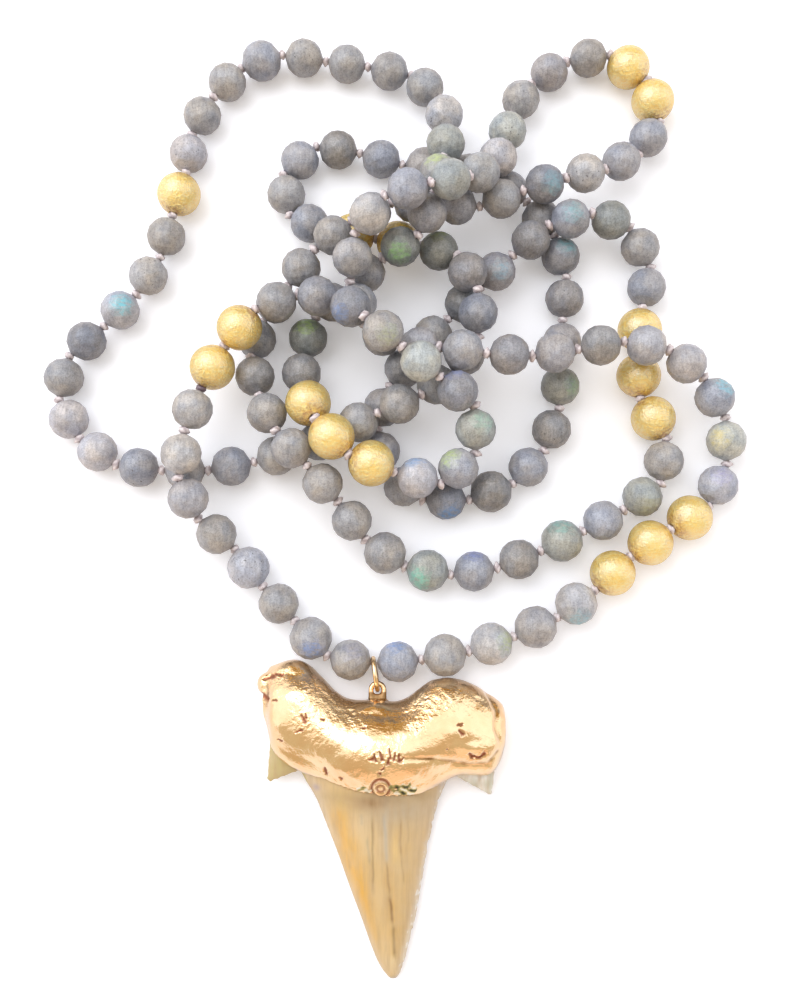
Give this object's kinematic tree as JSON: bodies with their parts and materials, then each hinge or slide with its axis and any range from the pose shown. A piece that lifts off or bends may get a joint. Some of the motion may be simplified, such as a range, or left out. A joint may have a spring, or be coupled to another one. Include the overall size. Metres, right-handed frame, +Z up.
{
  "type": "shark tooth necklace",
  "caption": "Long knotted necklace of faceted grey stone beads with gold accents, lying heaped, and a gold-capped shark tooth pendant on a jump ring.",
  "frame": {"origin": "middle of the bounding box, on the surface that the necklace lies on", "axes": "+Z up off the surface, +Y from the tip of the tooth to the far side of the heap, +X to the right"},
  "size_m": [0.1056, 0.1424, 0.02],
  "materials": {
    "labradorite": "satin polished facets",
    "gold_bead": "brushed, matte",
    "thread": "silk thread with knots",
    "gold_wire": "polished",
    "gold_cap": "polished, wrinkled",
    "tooth": "fossil enamel, satin"
  },
  "bodies": {
    "root": {"labradorite_beads": "labradorite", "gold_bead_01": "gold_bead", "gold_bead_02": "gold_bead", "gold_bead_03": "gold_bead", "gold_bead_04": "gold_bead", "gold_bead_05": "gold_bead", "gold_bead_06": "gold_bead", "gold_bead_07": "gold_bead", "gold_bead_08": "gold_bead", "gold_bead_09": "gold_bead", "gold_bead_10": "gold_bead", "gold_bead_11": "gold_bead", "gold_bead_12": "gold_bead", "gold_bead_13": "gold_bead", "gold_bead_14": "gold_bead", "gold_bead_15": "gold_bead", "gold_bead_16": "gold_bead", "thread": "thread", "jump_ring": "gold_wire", "gold_cap": "gold_cap", "tooth": "tooth"}
  },
  "joints": []
}
